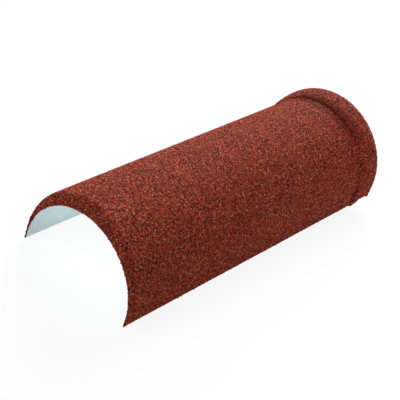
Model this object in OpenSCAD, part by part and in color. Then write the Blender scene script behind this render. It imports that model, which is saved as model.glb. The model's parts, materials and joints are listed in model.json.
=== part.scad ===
// Half round ridge tile of pressed steel sheet with a bonded coat of stone chips.
// The ridge runs along Y. The turned-down nose is at -Y and the raised collar,
// which the next tile's nose laps over, is at +Y. The feet stand on Z = 0, and
// the origin is under the crown, at the middle of the length.

/* [Barrel] */
// Width over the barrel's straight sides
barrel_w = 146; // [120:1:180]
// Height of the barrel's crown over the feet
barrel_h = 95; // [85:1:115]
// Overall length, nose face to collar edge
tile_l = 419; // [300:1:450]

/* [Sheet and coat] */
// Thickness of the primed steel sheet
steel_t = 0.5; // [0.4:0.05:0.8]
// Thickness of the stone coat bonded to its outside
coat_t = 0.8; // [0.6:0.1:1]

/* [Nose] */
// Radius of the bend between barrel and lip, at the crown
nose_bend_r = 7; // [5:0.5:10]
// Depth of the lip at the crown
lip_crown = 16; // [12:0.5:22]
// Depth of the lip at the feet
lip_foot = 1.6; // [1.6:0.1:5]
// How far each side is tucked in where it meets the nose face
side_tuck = 0.1; // [0:0.05:0.5]
// How far the pressed nose stands proud of the barrel
nose_swell = 0.12; // [0.1:0.02:0.3]

/* [Collar] */
// Rise of the crest over the barrel
collar_rise = 5.9; // [4:0.1:7]
// Length from the start of the groove to the crest
collar_run = 27; // [22:0.5:29]
// Radius of the groove at the foot of the collar
groove_r = 3; // [2:0.5:6]
// Radius of the shoulder that rises from the groove
shoulder_r = 12; // [8:0.5:16]
// Radius over the crest, on the side that faces the nose
crest_near_r = 90; // [80:1:150]
// Radius over the crest, on the side that faces the edge
crest_far_r = 17; // [16:0.5:30]
// Distance from the crest to the collar's edge
crest_to_edge = 8; // [5:0.5:13]

/* [Feet under the collar] */
// Highest point of each foot's edge, where the collar takes up the sheet
foot_lift = 12; // [7:0.5:14]
// Distance from that point to the collar's edge
foot_to_edge = 13.5; // [8:0.5:14]
// Radius at the foot of that rise
foot_groove_r = 18; // [10:0.5:30]
// Radius at the top of that rise
foot_crest_r = 16; // [12:0.5:24]

/* [Hidden] */
// Outer radius of the half round, and the height of the straight sides under it
barrel_r = barrel_w / 2;
side_h = barrel_h - barrel_r;

// How far the two arcs of a slope run into each other, so that they cross
arcs_cross = 0.03;
// Step to which a slope's length is rounded
run_step = 0.01;

// Places along the tile, measured from the nose face
crest_y = tile_l - crest_to_edge;
collar_y = crest_y - collar_run;
foot_top_y = tile_l - foot_to_edge;
foot_y = foot_top_y - slope_run(foot_lift, foot_groove_r, foot_crest_r);

// Arch of the nose opening, whose edge is the lip's lower edge
opening_r = barrel_r - lip_foot;
opening_h = barrel_h - lip_crown;

// Radius that the turned profile keeps clear round its axis
core_r = 5;
// Overrun of cutting shapes
over = 1;
// Flat facets round the nose's half arch, and along its bend
arch_steps = 48;
bend_steps = 6;

$fn = 96;

steel_colour = "#bfd0d5";
coat_colour = "#7a382c";

// Length of a slope made of two arcs, from the start of the groove to the crest.
// It is rounded, so that what follows the crest starts on the very same plane.
function slope_run(rise, low_r, top_r) = run_step * round(
    sqrt(pow(low_r + top_r - arcs_cross, 2) - pow(low_r + top_r - rise, 2)) / run_step);

// Outline of a slope that rises from a straight base line to a crest, as the arc
// of a groove and the arc over the crest. Y runs along the base, X is the height
// over it. The shape is drawn `depth` under that outline, down to `reach` under
// the base line, and ends at the crest.
module rising_outline(rise, low_r, top_r, reach, depth = 0) {
    run = slope_run(rise, low_r, top_r);
    centre_x = rise - top_r;
    angle = atan(run / (low_r - centre_x));
    low = min(centre_x, -reach) - over;
    join_r = top_r - depth + over;

    intersection() {
        translate([-reach, 0]) square([reach + rise, run]);
        difference() {
            union() {
                polygon([[low, 0], [over, 0],
                         [centre_x + join_r * cos(angle), run - join_r * sin(angle)],
                         [centre_x, run], [centre_x, run + over], [low, run + over]]);
                translate([centre_x, run]) circle(top_r - depth);
            }
            translate([low_r, 0]) circle(low_r + depth);
        }
    }
}

// Outline that goes on from the crest and falls in one arc, as far as `past` it
module falling_outline(rise, past, reach, depth = 0) {
    centre_x = rise - crest_far_r;
    low = min(centre_x, -reach) - over;

    intersection() {
        translate([-reach, 0]) square([reach + rise, past]);
        union() {
            translate([centre_x, 0]) circle(crest_far_r - depth);
            translate([low, -over]) square([centre_x - low, past + 2 * over]);
        }
    }
}

// Outline of the collar from its groove to its crest: the shoulder, topped by the
// flat arc of the crest
module near_outline(reach, depth) {
    shoulder_run = slope_run(collar_rise, groove_r, shoulder_r);
    intersection() {
        union() {
            rising_outline(collar_rise, groove_r, shoulder_r, reach, depth);
            translate([-reach, shoulder_run])
                square([reach + collar_rise + over, collar_run - shoulder_run]);
        }
        translate([collar_rise - crest_near_r, collar_run]) circle(crest_near_r - depth);
    }
}

// Half section of barrel and collar through the axis, for the surface that lies
// `depth` under the outside: X is the radius and Y the distance from the nose.
module half_section(depth) {
    reach = barrel_r - core_r;
    translate([core_r, nose_bend_r])
        square([barrel_r - depth - core_r, collar_y - nose_bend_r]);
    translate([barrel_r, collar_y]) near_outline(reach, depth);
    translate([barrel_r, crest_y])
        falling_outline(collar_rise, crest_to_edge, reach, depth);
}

// Profile of one layer of barrel and collar, between two depths
module layer_profile(top, bottom) {
    difference() {
        half_section(top);
        half_section(bottom);
    }
}

// Barrel and collar: turned over the crown, then straight down both sides
module barrel_layer(top, bottom) {
    translate([0, 0, side_h]) rotate([-90, 0, 0]) rotate([0, 0, 180])
        rotate_extrude(angle = 180) layer_profile(top, bottom);
    for (side = [0, 1])
        mirror([side, 0, 0]) linear_extrude(side_h) layer_profile(top, bottom);
}

// Ring of points round an arch, a half round on straight sides, at `y`
function arch_ring(half_w, top, y) = [
    [half_w, y, 0],
    for (i = [0 : arch_steps])
        let (a = 180 * i / arch_steps)
        [half_w * cos(a), y, top - half_w + half_w * sin(a)],
    [-half_w, y, 0]
];

// Solid through rings of points that all have the same count
module loft(rings) {
    n = len(rings[0]);
    last = len(rings) - 1;
    polyhedron(
        points = [for (ring = rings) each ring],
        faces = [
            [for (i = [n - 1 : -1 : 0]) i],
            [for (i = [0 : n - 1]) last * n + i],
            for (r = [0 : last - 1], i = [0 : n - 1])
                let (j = (i + 1) % n)
                each [[r * n + i, (r + 1) * n + j, (r + 1) * n + i],
                      [r * n + i, r * n + j, (r + 1) * n + j]]
        ]);
}

// Nose block inside the surface that lies `depth` under the outside. The bend is
// round at the crown and runs out towards the feet, whose edges stay nearly sharp.
module nose_block(depth) {
    bend_r = nose_bend_r - depth;
    loft([for (i = [bend_steps : -1 : 0])
        let (turn = 90 * i / bend_steps)
        arch_ring(barrel_r + nose_swell - depth - side_tuck * (1 - cos(turn)),
                  barrel_h + nose_swell - nose_bend_r + bend_r * cos(turn),
                  nose_bend_r - bend_r * sin(turn))]);
}

// Arched opening under the lip
module nose_opening() {
    rotate([90, 0, 0]) translate([0, 0, -nose_bend_r]) linear_extrude(nose_bend_r + over) {
        translate([0, opening_h - opening_r]) circle(opening_r);
        translate([-opening_r, -over])
            square([2 * opening_r, opening_h - opening_r + over]);
    }
}

// Nose of one layer: bend and lip
module nose_layer(top, bottom) {
    difference() {
        nose_block(top);
        nose_block(bottom);
        nose_opening();
    }
}

// Cutter for the feet under the collar. The sheet is cut straight before it is
// pressed, so its edges are drawn up where the collar takes up length.
module foot_cutter() {
    rotate([0, -90, 0]) linear_extrude(3 * barrel_r, center = true) {
        translate([0, foot_y])
            rising_outline(foot_lift, foot_groove_r, foot_crest_r, over);
        translate([0, foot_top_y])
            falling_outline(foot_lift, foot_to_edge + over, over);
    }
}

// One layer of the tile, between two depths under the outside
module tile_layer(top, bottom) {
    translate([0, -tile_l / 2, 0]) {
        difference() {
            barrel_layer(top, bottom);
            foot_cutter();
        }
        nose_layer(top, bottom);
    }
}

// Pressed sheet, bare on the underside
module steel_sheet() {
    color(steel_colour) tile_layer(coat_t, coat_t + steel_t);
}

// Bonded stone chips over the whole outside
module stone_coat() {
    color(coat_colour) tile_layer(0, coat_t);
}

steel_sheet();
stone_coat();
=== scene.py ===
# %% [markdown]
# # A half round ridge tile of stone-coated steel
# The tile is a length of thin steel sheet, primed on both sides and pressed to a
# half round with straight legs. Its outside is coated with acrylic and strewn
# with stone chips, about as coarse as kitchen salt. Everything here is dressed on
# the fixed solids: the bare sheet, and the even layer that stands for the coat.

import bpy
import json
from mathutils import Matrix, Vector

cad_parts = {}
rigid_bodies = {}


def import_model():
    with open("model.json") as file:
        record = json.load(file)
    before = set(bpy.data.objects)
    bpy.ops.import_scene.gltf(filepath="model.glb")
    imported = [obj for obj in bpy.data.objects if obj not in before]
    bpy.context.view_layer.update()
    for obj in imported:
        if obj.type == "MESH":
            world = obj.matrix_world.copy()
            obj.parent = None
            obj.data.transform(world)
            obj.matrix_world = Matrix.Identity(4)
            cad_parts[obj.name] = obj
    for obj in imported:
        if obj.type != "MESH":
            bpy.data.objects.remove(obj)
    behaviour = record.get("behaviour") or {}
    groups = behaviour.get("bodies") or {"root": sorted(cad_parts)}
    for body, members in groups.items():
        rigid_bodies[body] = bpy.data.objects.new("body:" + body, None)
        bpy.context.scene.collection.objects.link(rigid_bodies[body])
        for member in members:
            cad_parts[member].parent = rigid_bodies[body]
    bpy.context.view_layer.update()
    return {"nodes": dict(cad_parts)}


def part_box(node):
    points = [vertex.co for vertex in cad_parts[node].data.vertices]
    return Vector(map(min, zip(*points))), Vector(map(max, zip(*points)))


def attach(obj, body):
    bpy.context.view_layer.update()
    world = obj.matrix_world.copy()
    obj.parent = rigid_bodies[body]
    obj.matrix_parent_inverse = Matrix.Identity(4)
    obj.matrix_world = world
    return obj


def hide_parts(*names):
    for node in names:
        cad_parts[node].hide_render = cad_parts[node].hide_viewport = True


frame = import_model()
print("nodes:", ", ".join(sorted(frame["nodes"])))

# %% Modules, the unit and three small helpers
import json
import math
import random

import bmesh
import bpy
from mathutils import Matrix, Quaternion, Vector

MM = 0.001


def rounded(place):
    """A place's coordinates in metres, short enough to print."""
    return tuple(round(c, 4) for c in place)


def put(name, data):
    """A new object of that name and data, in the scene."""
    thing = bpy.data.objects.new(name, data)
    bpy.context.scene.collection.objects.link(thing)
    return thing


def cut_off(shape, place, outward):
    """Cuts off what lies beyond the plane through `place` that `outward` points from."""
    bmesh.ops.bisect_plane(shape, geom=shape.verts[:] + shape.edges[:] + shape.faces[:],
                           plane_co=place, plane_no=outward, clear_outer=True)


# %% [markdown]
# ## Colours and nodes
# Paint and stone colours are written as sRGB hex values, as a colour chart gives
# them. Shaders reckon in linear light, so one function turns them over. A second
# one adds a node, with its settings and its links, so that each material below
# reads as a short list. A third opens an empty material.

# %% Three helpers for every material
def colour(code):
    """Linear RGBA of an sRGB hex value."""
    parts = [int(code[i:i + 2], 16) / 255 for i in (1, 3, 5)]
    return [c / 12.92 if c <= 0.04045 else ((c + 0.055) / 1.055) ** 2.4
            for c in parts] + [1.0]


def add(tree, kind, links=(), **settings):
    """Adds a node, fed by `links` of a source socket and the input that takes it.

    A setting whose name starts with in_ goes to the input socket of that name or
    number. Any other goes to the node itself.
    """
    node = tree.nodes.new(kind)
    for name, value in settings.items():
        if name.startswith("in_"):
            socket = name[3:].replace("_", " ")
            node.inputs[int(socket) if socket.isdigit() else socket].default_value = value
        else:
            setattr(node, name, value)
    for source, target in links:
        tree.links.new(source, node.inputs[target])
    return node


def new_material(name):
    """A new material, with its tree and the principled shader that it starts with."""
    material = bpy.data.materials.new(name)
    material.use_nodes = True
    tree = material.node_tree
    return material, tree, tree.nodes["Principled BSDF"]


# %% [markdown]
# ## The primed underside
# The sheet's inside stays as the coil line left it: a thin polyester primer, pale
# blue-grey, rolled on and baked. A rolled primer has a faint orange-peel bump, and
# its tone wanders a little where the film is thinner. Both are so weak that a fine
# noise on the colour and a shallow bump are enough.

# %% Primer on the steel sheet
PRIMER_PATCH = 20.0 * MM  # over which the film's tone wanders
PEEL_DIMPLE = MM / 0.65  # orange peel, 1.5 mm from dimple to dimple
PEEL_DEPTH = 0.2 * MM

primer, tree, shader = new_material("baked polyester primer")
shader.inputs["Roughness"].default_value = 0.42  # satin, dulls a reflection but keeps it
place = add(tree, "ShaderNodeTexCoord")
# Rough fine detail in the same noise gives the paint a faint grain
film = add(tree, "ShaderNodeTexNoise", [(place.outputs["Object"], "Vector")],
           in_Scale=1 / PRIMER_PATCH, in_Detail=6.0, in_Roughness=0.85)
# Inputs 6 and 7 of a colour mix are its two colours
tone = add(tree, "ShaderNodeMix", [(film.outputs["Fac"], "Factor")], data_type="RGBA",
           in_6=colour("#acc0c5"), in_7=colour("#e0edef"))
tree.links.new(tone.outputs[2], shader.inputs["Base Color"])
peel = add(tree, "ShaderNodeTexNoise", [(place.outputs["Object"], "Vector")],
           in_Scale=1 / PEEL_DIMPLE, in_Detail=1.0)
bump = add(tree, "ShaderNodeBump", [(peel.outputs["Fac"], "Height")],
           in_Strength=0.6, in_Distance=PEEL_DEPTH)
tree.links.new(bump.outputs["Normal"], shader.inputs["Normal"])

sheet = frame["nodes"]["steel_sheet"]
sheet.data.materials.clear()
sheet.data.materials.append(primer)
print("sheet:", len(sheet.data.polygons), "faces, finish", primer.name)

# %% [markdown]
# ## The acrylic base coat
# The chips are strewn into wet acrylic, which shows between them as a dark
# red-brown ground, gritty with stone dust and nearly without sheen. One noise gives
# both the dust's colour and its bump, so that each grain is seen and felt at once.

# %% Finish of the base coat
DUST_GRAIN = MM / 3
DUST_HEIGHT = 0.3 * MM

base_coat, tree, shader = new_material("acrylic base coat with stone dust")
shader.inputs["Roughness"].default_value = 0.9
shader.inputs["Specular IOR Level"].default_value = 0.12
place = add(tree, "ShaderNodeTexCoord")
dust = add(tree, "ShaderNodeTexNoise", [(place.outputs["Object"], "Vector")],
           in_Scale=1 / DUST_GRAIN, in_Detail=2.0)
tone = add(tree, "ShaderNodeMix", [(dust.outputs["Fac"], "Factor")], data_type="RGBA",
           in_6=colour("#36120b"), in_7=colour("#64251a"))
tree.links.new(tone.outputs[2], shader.inputs["Base Color"])
bump = add(tree, "ShaderNodeBump", [(dust.outputs["Fac"], "Height")],
           in_Strength=0.6, in_Distance=DUST_HEIGHT)
tree.links.new(bump.outputs["Normal"], shader.inputs["Normal"])
print("finish", base_coat.name, "with grains of", round(DUST_GRAIN / MM, 2), "mm")

# %% [markdown]
# ## The weather side
# The coat's solid has an outer side, an inner side against the sheet, and narrow
# edges. Only the outer side takes chips. A face belongs to it if it looks away from
# the half round's axis, or, on the legs, straight out to its side. The lip at the
# nose turns down, so its front counts too.

# %% Tell the weather side's faces
AXIS_HEIGHT = 22.0 * MM  # of the half round, over the feet
LOOKS_AWAY = 0.3  # least cosine between a face's normal and the way out
LOOKS_FORWARD = -0.8  # greatest Y of a normal that points past the nose
LIP_THICKNESS = 1.0 * MM  # the lip's front lies within it, measured from the nose's end

coat_low, coat_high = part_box("stone_coat")


def faces_forward(face):
    """True for a face that looks past the nose."""
    return face.normal.y < LOOKS_FORWARD


def faces_out(face):
    """True for a face on the weather side of the coat."""
    middle = face.calc_center_median()
    away = Vector((middle.x, 0.0, max(middle.z - AXIS_HEIGHT, 0.0))).normalized()
    on_lip = middle.y < coat_low.y + LIP_THICKNESS
    return face.normal.dot(away) > LOOKS_AWAY or (faces_forward(face) and on_lip)


print("coat from", rounded(coat_low), "to", rounded(coat_high))

# %% [markdown]
# ## The film under the chips
# The film is a merged copy of the fixed coat, so that its faces join and the noise
# bump runs smoothly over them. The fixed coat reaches to the chips' tops, so the
# film's weather side lies a little deeper: it is pulled in along its normals, and
# the chips' tops then lie about where the coat ends.

# %% Film of acrylic
FILM_DEPTH = 0.3 * MM  # from the coat's outside down to the film
WELD = 0.001 * MM  # corners nearer than this are one

joined = bmesh.new()
joined.from_mesh(frame["nodes"]["stone_coat"].data)
bmesh.ops.remove_doubles(joined, verts=joined.verts, dist=WELD)
joined.normal_update()
weather_faces = {face for face in joined.faces if faces_out(face)}
for corner in joined.verts:
    outward = sum((face.normal for face in corner.link_faces if face in weather_faces),
                  Vector())
    corner.co -= outward.normalized() * FILM_DEPTH

coat_mesh = bpy.data.meshes.new("acrylic_coat")
joined.to_mesh(coat_mesh)
coat_mesh.materials.append(base_coat)
coat = put("acrylic_coat", coat_mesh)
print("film:", len(joined.verts), "corners,", len(joined.faces), "faces,",
      len(weather_faces), "look outward")

# %% [markdown]
# ## Where chips lie
# Chips cover the weather side only: barrel, collar, the bend of the nose and the
# lip's front. Two narrow strips stay without: the feet's edge, where the sheet was
# cut and no whole chip is left, and the lip beside the legs, which is too narrow
# to hold a chip and shows only its film.

# %% Ground for the chips
BARE_LIP = 20.0 * MM  # height up to which the lip's front stays bare
BARE_FOOT = 0.6 * MM  # about half a chip

bare = [face for face in joined.faces if face not in weather_faces
        or (faces_forward(face) and face.calc_center_median().z < BARE_LIP)]
bmesh.ops.delete(joined, geom=bare, context="FACES")
cut_off(joined, (0, 0, BARE_FOOT), (0, 0, -1))
area = sum(face.calc_area() for face in joined.faces)
print("ground for chips:", round(area * 1e4), "cm2 in", len(joined.faces), "faces")

# %% [markdown]
# ## The chips' colours
# The chips are crushed basalt, fired with a ceramic colour. A red blend is mixed
# from a few batches: two brick reds and an orange for the tone, maroon and brown
# for depth, near-black for the specks, and now and then a pale one. Each batch is
# one plain colour, so the mix comes from how many chips each batch gives. Acrylic
# glaze is sprayed over them, which leaves a weak satin sheen. The batches are listed
# from dark to light, since the strewing below counts on that order.

# %% Batches of chips, from dark to light: colour, and its share of the chip shapes
BATCHES = {
    "near-black granules": ("#3a140b", 2),
    "maroon granules": ("#6a1a15", 3),
    "brown granules": ("#5f3520", 3),
    "deep red granules": ("#903523", 7),
    "brick red granules": ("#a4412c", 9),
    "orange red granules": ("#b75639", 4),
    "pale granules": ("#b97b64", 1),
}
CHIP_SHEEN = 0.10  # pits in the stone swallow most of it

batch_materials = {}
for name, (code, share) in BATCHES.items():
    material, tree, shader = new_material(name)
    shader.inputs["Base Color"].default_value = colour(code)
    shader.inputs["Roughness"].default_value = 0.75
    shader.inputs["Specular IOR Level"].default_value = CHIP_SHEEN
    batch_materials[name] = material
print("batches:", len(batch_materials), "for",
      sum(share for code, share in BATCHES.values()), "chip shapes")

# %% [markdown]
# ## The chips' shapes
# Crushed stone breaks into blunt, angular lumps. A cube whose corners are pushed
# about and then wrapped in its convex hull gives such a lump with a dozen
# triangles, which is as much as a thing shown over forty thousand times may have.
# A lump is about 1.5 mm across and 1 mm thick, and it lies flat, as chips do when a
# roller beds them.
# Shapes are numbered in the order of the batches, so a low number is a dark chip.

# %% One lump for each share of the blend
CHIP_SIZE = Vector((1.25, 1.05, 0.75)) * MM
PUSH = 0.27  # most that a corner moves each way, where the cube's edge is 1
dice = random.Random(7)


def crushed_lump(name):
    """A mesh of one blunt, angular lump of stone."""
    lump = bmesh.new()
    bmesh.ops.create_cube(lump, size=1.0)
    for corner in lump.verts:
        corner.co += Vector([dice.uniform(-PUSH, PUSH) for _ in range(3)])
    # Only the corners stay, and the hull is drawn round them
    bmesh.ops.delete(lump, geom=lump.edges[:] + lump.faces[:], context="EDGES_FACES")
    hull = bmesh.ops.convex_hull(lump, input=lump.verts)
    bmesh.ops.delete(lump, geom=hull["geom_interior"], context="VERTS")
    bmesh.ops.scale(lump, verts=lump.verts, vec=CHIP_SIZE)
    bmesh.ops.recalc_face_normals(lump, faces=lump.faces)
    mesh = bpy.data.meshes.new(name)
    lump.to_mesh(mesh)
    lump.free()
    return mesh


chip_shapes = bpy.data.collections.new("chip shapes")
for name, (code, share) in BATCHES.items():
    for _ in range(share):
        lump_mesh = crushed_lump(name)
        lump_mesh.materials.append(batch_materials[name])
        label = f"chip {len(chip_shapes.objects):02d}"
        chip_shapes.objects.link(bpy.data.objects.new(label, lump_mesh))

# %% [markdown]
# ## Strewing the chips
# Chips thrown on wet acrylic lie close, but hardly on top of one another. That is
# what Poisson-disk scattering gives: points at random, none nearer to the next
# than a set distance. Each point takes one shape, turned about the surface's
# normal, tipped a little and scaled a little. A geometry node tree does this in a
# moment, where a loop over forty thousand chips would be slow.

# %% Scatter tree: points and shapes
SPACING = 1.1 * MM  # least distance between two chips' middles
CROWD = 1.4e6  # points tried on a square metre, more than the spacing leaves room for

scatter = bpy.data.node_groups.new("strew chips", "GeometryNodeTree")
for way in ("INPUT", "OUTPUT"):
    scatter.interface.new_socket("Geometry", in_out=way, socket_type="NodeSocketGeometry")
surface = add(scatter, "NodeGroupInput")
points = add(scatter, "GeometryNodeDistributePointsOnFaces",
             [(surface.outputs[0], "Mesh")], distribute_method="POISSON",
             in_Distance_Min=SPACING, in_Density_Max=CROWD, in_Seed=11)
shapes = add(scatter, "GeometryNodeCollectionInfo", in_Collection=chip_shapes,
             in_Separate_Children=True, in_Reset_Children=True)
print("chips at least", round(SPACING / MM, 2), "mm apart")

# %% [markdown]
# Over the crown, in the groove before the collar, shade is painted into the chips:
# the collar's cast shadow and the shade of its near side are given as darker chips.
# On the sides none is painted. So in the groove's crown the shapes are picked from
# the dark half only: a random number is drawn over the whole row of shapes, and
# the painted shade shortens the reach of that draw.

# %% Scatter tree: which shape lies where
SHADED_GROOVE_Y = coat_high.y - 34.0 * MM  # middle of the strip of painted shade, the collar's shadow
FULL_SHADE_HALF, NO_SHADE_HALF = 8.0 * MM, 15.0 * MM  # from that middle, to full painted shade and to none
CROWN_LOW, CROWN_HIGH = 73.0 * MM, 88.0 * MM  # heights where the painted shade starts, is full
SHADED_REACH = 0.42  # share of the row of shapes that ground in full painted shade picks from
ROW_END = len(chip_shapes.objects) - 0.001  # stays under the number past the last shape

spot = add(scatter, "GeometryNodeInputPosition")
where = add(scatter, "ShaderNodeSeparateXYZ", [(spot.outputs[0], 0)])
along = add(scatter, "ShaderNodeMath", [(where.outputs["Y"], 0)],
            operation="SUBTRACT", in_1=SHADED_GROOVE_Y)
off_middle = add(scatter, "ShaderNodeMath", [(along.outputs[0], 0)], operation="ABSOLUTE")
groove_shade = add(scatter, "ShaderNodeMapRange", [(off_middle.outputs[0], "Value")],
                in_From_Min=FULL_SHADE_HALF, in_From_Max=NO_SHADE_HALF,
                in_To_Min=1.0, in_To_Max=0.0)
crown_shade = add(scatter, "ShaderNodeMapRange", [(where.outputs["Z"], "Value")],
               in_From_Min=CROWN_LOW, in_From_Max=CROWN_HIGH)
# Painted shade: 1 over the groove's crown, where darker chips stand in for the collar's
# shadow
painted_shade = add(scatter, "ShaderNodeMath",
             [(groove_shade.outputs[0], 0), (crown_shade.outputs[0], 1)], operation="MULTIPLY")
reach = add(scatter, "ShaderNodeMapRange", [(painted_shade.outputs[0], "Value")],
            in_To_Min=1.0, in_To_Max=SHADED_REACH)
# A random value keeps its range in inputs 0 and 1 for vectors, and 2 and 3 for numbers
draw = add(scatter, "FunctionNodeRandomValue", data_type="FLOAT",
           in_2=0.0, in_3=ROW_END, in_Seed=3)
drawn = add(scatter, "ShaderNodeMath",
            [(draw.outputs[1], 0), (reach.outputs[0], 1)], operation="MULTIPLY")
pick = add(scatter, "ShaderNodeMath", [(drawn.outputs[0], 0)], operation="FLOOR")

# %% [markdown]
# The turn is a rotation in the chip's own frame, after the one that lays it on the
# surface. The instances are realized at the end, so that what is shown is a plain
# mesh.

# %% Scatter tree: turn, tip, size and output
TIP = 0.45  # radians, most that a chip leans
SMALL, LARGE = 0.75, 1.2  # range of a chip's scale

lean = add(scatter, "FunctionNodeRandomValue", data_type="FLOAT_VECTOR",
           in_0=(-TIP, -TIP, 0.0), in_1=(TIP, TIP, math.tau), in_Seed=5)
turn = add(scatter, "FunctionNodeEulerToRotation", [(lean.outputs[0], 0)])
turned = add(scatter, "FunctionNodeRotateRotation",
             [(points.outputs["Rotation"], 0), (turn.outputs[0], 1)],
             rotation_space="LOCAL")
size = add(scatter, "FunctionNodeRandomValue", data_type="FLOAT",
           in_2=SMALL, in_3=LARGE, in_Seed=9)
strewn = add(scatter, "GeometryNodeInstanceOnPoints",
             [(points.outputs["Points"], "Points"), (shapes.outputs[0], "Instance"),
              (pick.outputs[0], "Instance Index"), (turned.outputs[0], "Rotation"),
              (size.outputs[1], "Scale")], in_Pick_Instance=True)
plain = add(scatter, "GeometryNodeRealizeInstances", [(strewn.outputs[0], 0)])
add(scatter, "NodeGroupOutput", [(plain.outputs[0], 0)])
print("scatter tree:", len(scatter.nodes), "nodes")

# %% [markdown]
# ## Chips in bands
# One mesh of all chips would be too heavy to handle, so the weather side is cut
# into bands along the ridge, and each band's chips become one piece.

# %% Strew band by band
BANDS = 6
cuts = [coat_low.y + (coat_high.y - coat_low.y) * i / BANDS for i in range(BANDS + 1)]
chip_pieces = []

for number, (near_cut, far_cut) in enumerate(zip(cuts, cuts[1:]), 1):
    band = joined.copy()
    cut_off(band, (0, near_cut, 0), (0, -1, 0))
    cut_off(band, (0, far_cut, 0), (0, 1, 0))
    ground = put("ground", bpy.data.meshes.new("ground"))
    band.to_mesh(ground.data)
    band.free()
    ground.modifiers.new("strew", "NODES").node_group = scatter
    seen = bpy.context.evaluated_depsgraph_get()
    chip_mesh = bpy.data.meshes.new_from_object(ground.evaluated_get(seen))
    bpy.data.objects.remove(ground)
    chip_mesh.name = f"stone_chips_{number}"
    chip_pieces.append(put(chip_mesh.name, chip_mesh))
    print(chip_mesh.name, len(chip_mesh.polygons), "triangles,",
          len(chip_mesh.materials), "batches")

# The ground and the loose shapes have done their work
joined.free()
for shape in chip_shapes.objects[:]:
    bpy.data.objects.remove(shape)
bpy.data.collections.remove(chip_shapes)

# %% [markdown]
# ## One tile
# The tile is rigid, so film and chips ride on its only body. The film takes the
# place of the fixed coat, which is then hidden.

# %% Fasten the coat and its chips to the part
for piece in [coat] + chip_pieces:
    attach(piece, "root")
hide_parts("stone_coat")

# %% [markdown]
# ## Floor and background
# The tile stands on a plain white floor. The floor is a pale diffuse surface for
# light and shadow. To the camera, and to mirror-like reflections, it also shows
# part of a plain white, so that it reads as a white background without more light
# on the tile.

# %% Rays that see the background
def background_rays(tree):
    """A node that is 1 for what the camera, a reflection or a glass sees, and else 0."""
    path = add(tree, "ShaderNodeLightPath")
    seen = add(tree, "ShaderNodeMath",
               [(path.outputs["Is Camera Ray"], 0), (path.outputs["Is Glossy Ray"], 1)],
               operation="MAXIMUM")
    return add(tree, "ShaderNodeMath",
               [(seen.outputs[0], 0), (path.outputs["Is Transmission Ray"], 1)],
               operation="MAXIMUM")


# %% White floor
FLOOR_HALF = 6.0  # metres from its middle to its edge
WHITE_SHARE = 0.85  # of what is seen of the floor; the rest is its light and shadow
WHITE_STRENGTH = 1.05  # a little over 1, since the other share is darker than white

floor_mesh = bpy.data.meshes.new("floor")
plane = bmesh.new()
bmesh.ops.create_grid(plane, x_segments=1, y_segments=1, size=FLOOR_HALF)
plane.to_mesh(floor_mesh)
plane.free()
floor = put("floor", floor_mesh)

paper, tree, shader = new_material("white paper sweep")
shader.inputs["Base Color"].default_value = colour("#bcbcbc")
shader.inputs["Roughness"].default_value = 0.9
white_part = add(tree, "ShaderNodeMath", [(background_rays(tree).outputs[0], 0)],
                 operation="MULTIPLY", in_1=WHITE_SHARE)
white = add(tree, "ShaderNodeEmission", in_Color=(1, 1, 1, 1),
            in_Strength=WHITE_STRENGTH)
mixed = add(tree, "ShaderNodeMixShader",
            [(white_part.outputs[0], 0), (shader.outputs[0], 1), (white.outputs[0], 2)])
tree.links.new(mixed.outputs[0], tree.nodes["Material Output"].inputs["Surface"])
floor_mesh.materials.append(paper)
print("floor:", 2 * FLOOR_HALF, "m square, white share", WHITE_SHARE)

# %% [markdown]
# ## Light
# The key is a soft box behind the tile, on its left. It makes the crown bright and
# leaves in shade what looks forward: the collar's near side and the nose. A weak
# box in front keeps the lip from going black, and a small one low on the right
# models the chips on the flank that faces the camera. The world adds a little even
# light. Under the ridge hangs a row of small soft lamps, as a real white floor
# would throw light up there.

# %% Soft boxes
MIDDLE = Vector((0.0, 0.0, 0.05))  # of the tile, in metres


def away_from(azimuth, elevation):
    """The way out from the tile at two angles in radians. Azimuth 0 is past the nose."""
    return Vector((math.sin(azimuth) * math.cos(elevation),
                   -math.cos(azimuth) * math.cos(elevation), math.sin(elevation)))


def soft_box(name, azimuth, elevation, width, watts, distance=1.6):
    """A square area lamp that looks at the tile from two angles in degrees."""
    away = away_from(math.radians(azimuth), math.radians(elevation))
    lamp = bpy.data.lights.new(name, "AREA")
    lamp.size, lamp.energy = width, watts
    holder = put(name, lamp)
    holder.location = MIDDLE + away * distance
    holder.rotation_euler = away.to_track_quat("Z", "Y").to_euler()
    print(name, "at", rounded(holder.location), watts, "W")


soft_box("key behind on the left", azimuth=-150, elevation=31, width=1.45, watts=130.0,
         distance=2.6)
soft_box("fill in front", azimuth=-30, elevation=40, width=0.8, watts=13.5)
soft_box("fill on the right", azimuth=110, elevation=20, width=0.4, watts=12.0)

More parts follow.
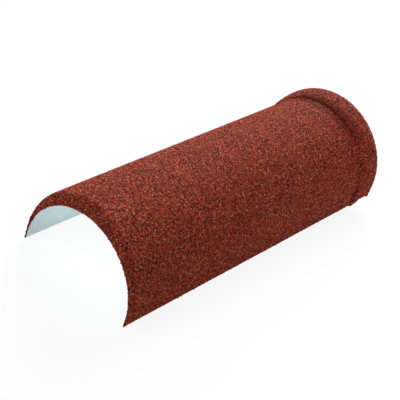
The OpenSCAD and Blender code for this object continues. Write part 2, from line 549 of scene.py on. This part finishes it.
# %% Row of lamps under the ridge
ALONG_RIDGE = (-0.18, -0.09, 0.0, 0.09, 0.18)  # metres
HANG = 0.03  # metres over the floor
SOFT_SIZE = 0.02  # radius in metres
SMALL_WATTS = 0.058

for number, along_y in enumerate(ALONG_RIDGE):
    lamp = bpy.data.lights.new(f"lamp under the ridge {number}", "POINT")
    lamp.shadow_soft_size, lamp.energy = SOFT_SIZE, SMALL_WATTS
    holder = put(lamp.name, lamp)
    holder.location = (0.0, along_y, HANG)
    holder.visible_camera = holder.visible_glossy = False
print("lamps under the ridge:", len(ALONG_RIDGE), "of", SMALL_WATTS, "W")

# %% World, white where it is seen and a weak even light elsewhere
EVEN_LIGHT = 0.09

world = bpy.data.worlds.new("studio")
bpy.context.scene.world = world
world.use_nodes = True
tree = world.node_tree
backdrop = tree.nodes["Background"]
backdrop.inputs["Color"].default_value = (1, 1, 1, 1)
strength = add(tree, "ShaderNodeMapRange", [(background_rays(tree).outputs[0], "Value")],
               in_To_Min=EVEN_LIGHT, in_To_Max=1.0)
tree.links.new(strength.outputs[0], backdrop.inputs["Strength"])
print("world: even light of strength", EVEN_LIGHT)

# %% [markdown]
# ## Camera
# The camera looks down on the nose from the right with a fairly long lens, rolled
# so that the ridge runs up to the right.

# %% Camera
AZIMUTH, ELEVATION, ROLL = (math.radians(d) for d in (29.656, 35.478, 20.891))
DISTANCE, TO_RIGHT, TO_TOP = 1.29390, -0.00975, 0.01761  # metres from the origin
LENS, SENSOR = 105.28, 36.0  # mm

back = away_from(AZIMUTH, ELEVATION)
horizontal = Vector((math.cos(AZIMUTH), math.sin(AZIMUTH), 0.0))
to_right = Quaternion(back, ROLL) @ horizontal
to_top = back.cross(to_right)

camera = put("camera", bpy.data.cameras.new("camera"))
camera.data.sensor_width, camera.data.lens = SENSOR, LENS
camera.location = back * DISTANCE + to_right * TO_RIGHT + to_top * TO_TOP
camera.rotation_euler = Matrix((to_right, to_top, back)).transposed().to_euler()
bpy.context.scene.camera = camera
bpy.context.scene.view_settings.view_transform = "Standard"
print("camera at", rounded(camera.location), "with a lens of", LENS, "mm")
